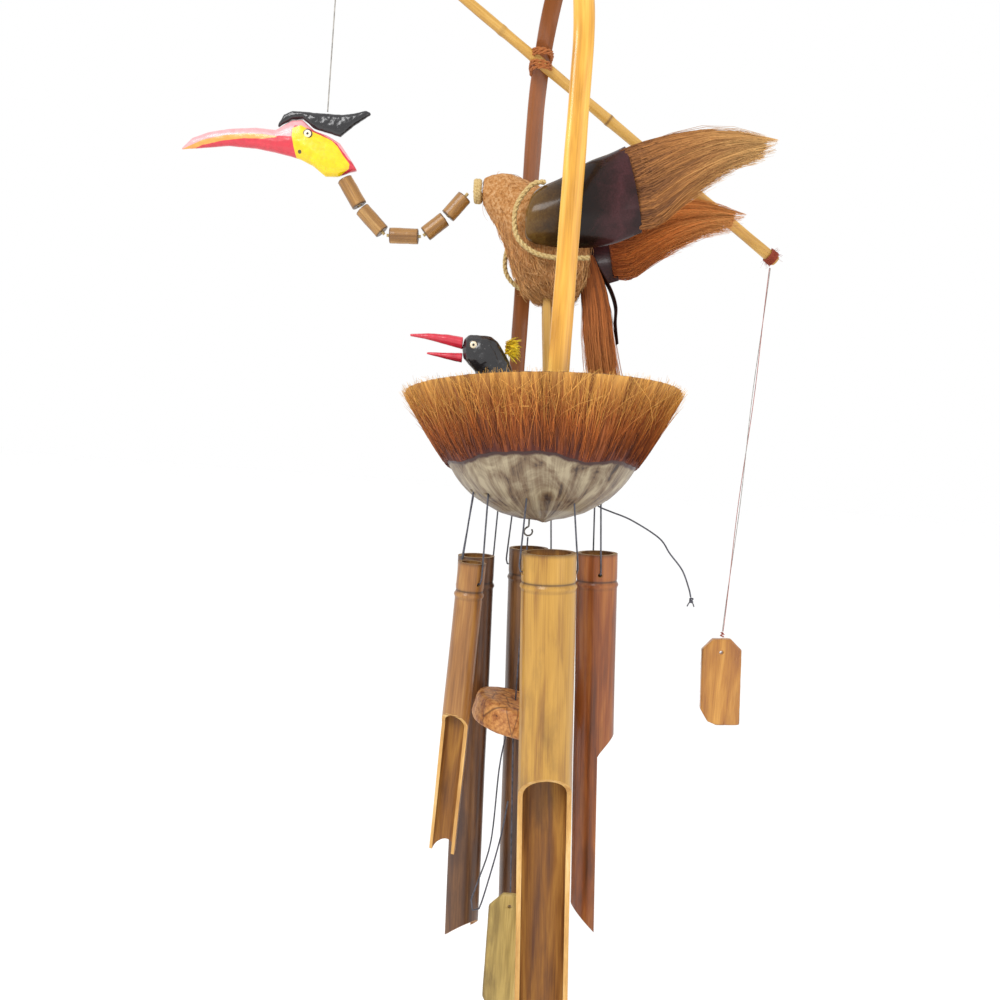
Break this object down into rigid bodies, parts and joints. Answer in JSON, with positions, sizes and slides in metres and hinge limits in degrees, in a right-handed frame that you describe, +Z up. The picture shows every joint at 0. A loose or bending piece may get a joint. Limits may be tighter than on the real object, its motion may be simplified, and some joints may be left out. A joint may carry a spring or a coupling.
{
  "type": "bamboo and coconut wind chime",
  "caption": "Hanging garden chime: husk nest on a bamboo hoop, bird with a bobbing head on a balance stick, bamboo tubes, wooden clapper and wind sail below.",
  "frame": {"origin": "inside top of the cord loop that the chime hangs from", "axes": "+Z up, +X towards the counterweight end of the stick, -X towards the bird's bill, -Y towards the viewer of the bird's near wing"},
  "size_m": [0.4473, 0.2046, 0.7927],
  "materials": {
    "cord_straw": "twisted straw cord",
    "bamboo_golden": "varnished split bamboo",
    "coconut_shell": "polished coconut shell",
    "coir": "combed coconut fibre",
    "husk": "rough coconut husk",
    "shell_dark": "dark gloss-lacquered coconut shell",
    "cane": "natural cane",
    "raffia": "raffia binding",
    "tie_thread": "red-brown wound thread",
    "nylon": "dark nylon thread",
    "bead_bamboo": "stained bamboo",
    "head_paint": "gloss yellow and red painted wood",
    "black_paint": "gloss black painted wood",
    "red_paint": "gloss red painted wood",
    "dyed_tuft": "dyed fibre",
    "bamboo_brown": "burnt and varnished bamboo",
    "clapper_wood": "rough-sawn varnished wood",
    "weight_bamboo": "varnished bamboo slat",
    "sail_bamboo": "weathered bamboo slat",
    "wire": "dull iron wire"
  },
  "bodies": {
    "nest_and_hoop": {"hanger_loop": "cord_straw", "hoop": "bamboo_golden", "nest_shell": "coconut_shell", "nest_coir": "coir", "bird_body": "husk", "bird_leg_front": "cane", "bird_leg_rear": "cane", "wing_shell_near": "shell_dark", "wing_shell_far": "shell_dark", "wing_coir_near": "coir", "wing_coir_far": "coir", "wing_braid_near": "cord_straw", "wing_braid_far": "cord_straw", "tail_shell": "shell_dark", "tail_coir": "coir", "neck_collar": "cord_straw", "chick_head": "black_paint", "chick_bill_upper": "red_paint", "chick_bill_lower": "red_paint", "chick_tuft": "dyed_tuft", "pivot_lashing": "raffia", "loose_thread": "nylon", "loose_knot": "nylon"},
    "stick": {"balance_stick": "cane", "stick_tie_left": "tie_thread", "stick_tie_right": "tie_thread"},
    "head_line": {"head_string": "nylon"},
    "neck_1": {"neck_bead_1": "bead_bamboo", "neck_cord_1": "cord_straw"},
    "neck_2": {"neck_bead_2": "bead_bamboo", "neck_cord_2": "cord_straw"},
    "neck_3": {"neck_bead_3": "bead_bamboo", "neck_cord_3": "cord_straw"},
    "neck_4": {"neck_bead_4": "bead_bamboo", "neck_cord_4": "cord_straw"},
    "neck_5": {"neck_bead_5": "bead_bamboo", "neck_cord_5": "cord_straw"},
    "head": {"bird_head": "head_paint", "head_crest": "black_paint"},
    "weight_line": {"weight_string": "nylon", "weight_knot": "nylon"},
    "weight": {"counterweight": "weight_bamboo"},
    "line_a": {"thread_a": "nylon"},
    "chime_a": {"tube_a": "bamboo_brown"},
    "line_b": {"thread_b": "nylon"},
    "chime_b": {"tube_b": "bamboo_brown"},
    "line_c": {"thread_c": "nylon"},
    "chime_c": {"tube_c": "bamboo_brown"},
    "line_d": {"thread_d": "nylon"},
    "chime_d": {"tube_d": "bamboo_brown"},
    "line_e": {"thread_e": "nylon"},
    "chime_e": {"tube_e": "bamboo_brown"},
    "hook": {"clapper_hook": "wire"},
    "striker": {"clapper_string": "nylon", "clapper": "clapper_wood"},
    "sail": {"sail_string": "nylon", "wind_sail": "sail_bamboo", "slack_thread": "nylon"}
  },
  "joints": [
    {"name": "stick_rock", "type": "hinge", "parent": "nest_and_hoop", "child": "stick", "pos_m": [-0.01238, 0.05123, -0.0978], "axis": [0, 1, 0], "range_deg": [-7, 7]},
    {"name": "head_string_swing", "type": "hinge", "parent": "stick", "child": "head_line", "pos_m": [-0.1555, 0.015, -0.0171], "axis": [0, 1, 0], "range_deg": [-5.8, 5.8]},
    {"name": "neck_bend_1", "type": "hinge", "parent": "nest_and_hoop", "child": "neck_1", "pos_m": [-0.055, 0.015, -0.2025], "axis": [0, 1, 0], "range_deg": [-4.4, 4.4]},
    {"name": "neck_bend_2", "type": "hinge", "parent": "neck_1", "child": "neck_2", "pos_m": [-0.0695, 0.015, -0.221], "axis": [0, 1, 0], "range_deg": [-6, 6]},
    {"name": "neck_bend_3", "type": "hinge", "parent": "neck_2", "child": "neck_3", "pos_m": [-0.0855, 0.015, -0.2352], "axis": [0, 1, 0], "range_deg": [-6, 6]},
    {"name": "neck_bend_4", "type": "hinge", "parent": "neck_3", "child": "neck_4", "pos_m": [-0.1115, 0.015, -0.2362], "axis": [0, 1, 0], "range_deg": [-6, 6]},
    {"name": "neck_bend_5", "type": "hinge", "parent": "neck_4", "child": "neck_5", "pos_m": [-0.13, 0.015, -0.2183], "axis": [0, 1, 0], "range_deg": [-6, 6]},
    {"name": "head_nod", "type": "hinge", "parent": "neck_5", "child": "head", "pos_m": [-0.1435, 0.015, -0.1982], "axis": [0, 1, 0], "range_deg": [-4.1, 4.1]},
    {"name": "weight_line_swing", "type": "hinge", "parent": "stick", "child": "weight_line", "pos_m": [0.18112, 0.1002, -0.22497], "axis": [0, 1, 0], "range_deg": [-12, 12]},
    {"name": "weight_tilt", "type": "hinge", "parent": "weight_line", "child": "weight", "pos_m": [0.17012, 0.1002, -0.51901], "axis": [1, 0, 0], "range_deg": [-10, 10]},
    {"name": "line_a_swing", "type": "hinge", "parent": "nest_and_hoop", "child": "line_a", "pos_m": [-0.03031, -0.02974, -0.40729], "axis": [-0.6429, 0.7635, 0.0619], "range_deg": [-0.8, 6]},
    {"name": "tube_a_rock", "type": "hinge", "parent": "line_a", "child": "chime_a", "pos_m": [-0.03346, -0.03199, -0.46999], "axis": [-0.6441, 0.7649, 0], "range_deg": [-0.7, 5]},
    {"name": "line_b_swing", "type": "hinge", "parent": "nest_and_hoop", "child": "line_b", "pos_m": [-0.02637, 0.03387, -0.40417], "axis": [0.7336, 0.6793, -0.0164], "range_deg": [-0.8, 6]},
    {"name": "tube_b_rock", "type": "hinge", "parent": "line_b", "child": "chime_b", "pos_m": [-0.03165, 0.03998, -0.475], "axis": [0.7337, 0.6794, 0], "range_deg": [-0.7, 5]},
    {"name": "line_c_swing", "type": "hinge", "parent": "nest_and_hoop", "child": "line_c", "pos_m": [0.00677, 0.04613, -0.40543], "axis": [0.9973, -0.0383, -0.0621], "range_deg": [-0.8, 6]},
    {"name": "tube_c_rock", "type": "hinge", "parent": "line_c", "child": "chime_c", "pos_m": [0.0076, 0.052, -0.46799], "axis": [0.9993, -0.0384, 0], "range_deg": [-0.7, 5]},
    {"name": "line_d_swing", "type": "hinge", "parent": "nest_and_hoop", "child": "line_d", "pos_m": [0.01538, -0.04498, -0.40837], "axis": [-0.9736, -0.2248, 0.0405], "range_deg": [-0.8, 6]},
    {"name": "tube_d_rock", "type": "hinge", "parent": "line_d", "child": "chime_d", "pos_m": [0.01783, -0.052, -0.45698], "axis": [-0.9744, -0.225, 0], "range_deg": [-0.7, 5]},
    {"name": "line_e_swing", "type": "hinge", "parent": "nest_and_hoop", "child": "line_e", "pos_m": [0.05101, 0.00378, -0.4096], "axis": [0.0819, -0.9961, -0.0336], "range_deg": [-0.8, 6]},
    {"name": "tube_e_rock", "type": "hinge", "parent": "line_e", "child": "chime_e", "pos_m": [0.05484, 0.00403, -0.46197], "axis": [0.0819, -0.9966, 0], "range_deg": [-0.7, 5]},
    {"name": "hook_swing", "type": "hinge", "parent": "nest_and_hoop", "child": "hook", "pos_m": [0.004, 0, -0.42439], "axis": [1, 0, 0], "range_deg": [-1.2, 1.2]},
    {"name": "clapper_swing", "type": "hinge", "parent": "hook", "child": "striker", "pos_m": [0.004, 0, -0.439], "axis": [0, 1, 0], "range_deg": [-1.4, 1.4]},
    {"name": "sail_swing", "type": "hinge", "parent": "striker", "child": "sail", "pos_m": [0.004, 0, -0.5788], "axis": [1, 0, 0], "range_deg": [-4, 4]}
  ],
  "couplings": [
    {"joint": "head_string_swing", "follows": "stick_rock", "ratio": -0.812},
    {"joint": "neck_bend_1", "follows": "stick_rock", "ratio": 0.608},
    {"joint": "neck_bend_2", "follows": "stick_rock", "ratio": 0.85},
    {"joint": "neck_bend_3", "follows": "stick_rock", "ratio": 0.85},
    {"joint": "neck_bend_4", "follows": "stick_rock", "ratio": -0.85},
    {"joint": "neck_bend_5", "follows": "stick_rock", "ratio": -0.85},
    {"joint": "head_nod", "follows": "stick_rock", "ratio": 0.57}
  ]
}
